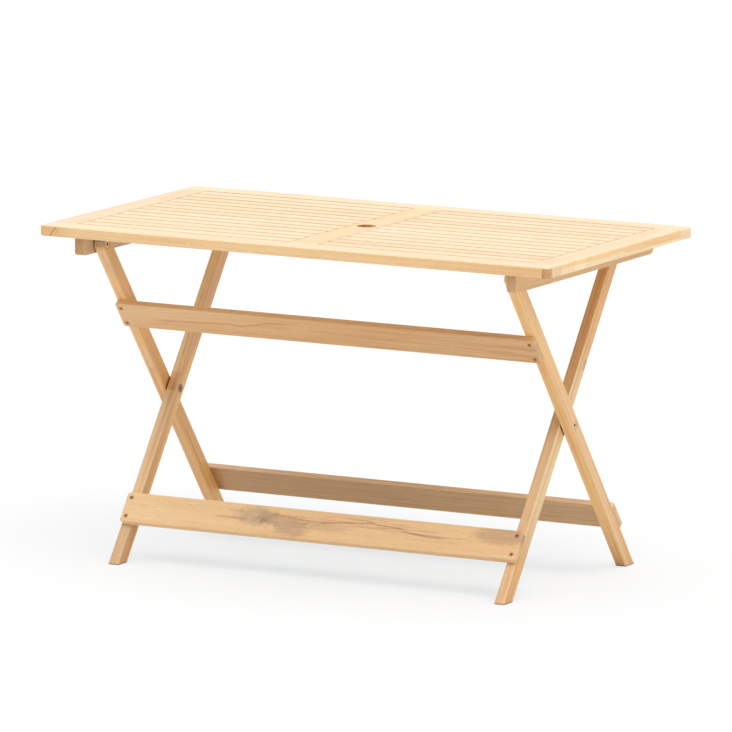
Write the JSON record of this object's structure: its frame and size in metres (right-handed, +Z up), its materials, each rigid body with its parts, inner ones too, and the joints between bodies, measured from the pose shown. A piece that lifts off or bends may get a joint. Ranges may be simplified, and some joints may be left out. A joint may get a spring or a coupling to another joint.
{
  "type": "folding table",
  "caption": "Rectangular folding garden table with a slatted wooden top, a central umbrella hole and crossed legs that fold under the top.",
  "frame": {"origin": "on the floor, under the middle of the table top", "axes": "+X along the table's length, +Z up, -Y towards the front long side"},
  "size_m": [1.2, 0.7, 0.73],
  "materials": {
    "top_wood": "pale hardwood, lightly oiled, satin",
    "frame_wood": "pale hardwood, lightly oiled, satin",
    "steel": "zinc-plated steel, satin",
    "brass": "plain turned brass"
  },
  "bodies": {
    "outer_frame": {"back_stretcher": "frame_wood", "cross_bolts": "steel", "cross_sleeves": "steel", "cross_washers": "steel", "left_outer_leg": "frame_wood", "right_outer_leg": "frame_wood", "upper_stretcher": "frame_wood"},
    "table_top": {"back_rail": "top_wood", "centre_rail": "top_wood", "front_rail": "top_wood", "left_batten": "frame_wood", "left_bearer": "frame_wood", "left_catch_block": "frame_wood", "left_end_rail": "top_wood", "left_pivot_bolt": "steel", "left_slat_01": "top_wood", "left_slat_02": "top_wood", "left_slat_03": "top_wood", "left_slat_04": "top_wood", "left_slat_05": "top_wood", "left_slat_06": "top_wood", "left_slat_07": "top_wood", "left_slat_08": "top_wood", "left_slat_09": "top_wood", "left_slat_10": "top_wood", "left_slat_11": "top_wood", "left_slat_12": "top_wood", "left_slat_13": "top_wood", "pivot_inserts": "brass", "pivot_washers": "steel", "right_batten": "frame_wood", "right_bearer": "frame_wood", "right_catch_block": "frame_wood", "right_end_rail": "top_wood", "right_pivot_bolt": "steel", "right_slat_01": "top_wood", "right_slat_02": "top_wood", "right_slat_03": "top_wood", "right_slat_04": "top_wood", "right_slat_05": "top_wood", "right_slat_06": "top_wood", "right_slat_07": "top_wood", "right_slat_08": "top_wood", "right_slat_09": "top_wood", "right_slat_10": "top_wood", "right_slat_11": "top_wood", "right_slat_12": "top_wood", "right_slat_13": "top_wood"},
    "inner_frame": {"catch_bar": "frame_wood", "front_stretcher": "frame_wood", "left_inner_leg": "frame_wood", "right_inner_leg": "frame_wood"}
  },
  "joints": [
    {"name": "top_fold", "type": "hinge", "parent": "outer_frame", "child": "table_top", "pos_m": [0, -0.28, 0.69], "axis": [1, 0, 0], "range_deg": [0, 90]},
    {"name": "leg_fold", "type": "hinge", "parent": "outer_frame", "child": "inner_frame", "pos_m": [0, 0.0036, 0.3435], "axis": [1, 0, 0], "range_deg": [0, 75]}
  ],
  "couplings": [
    {"joint": "leg_fold", "follows": "top_fold", "ratio": 0.8333}
  ]
}
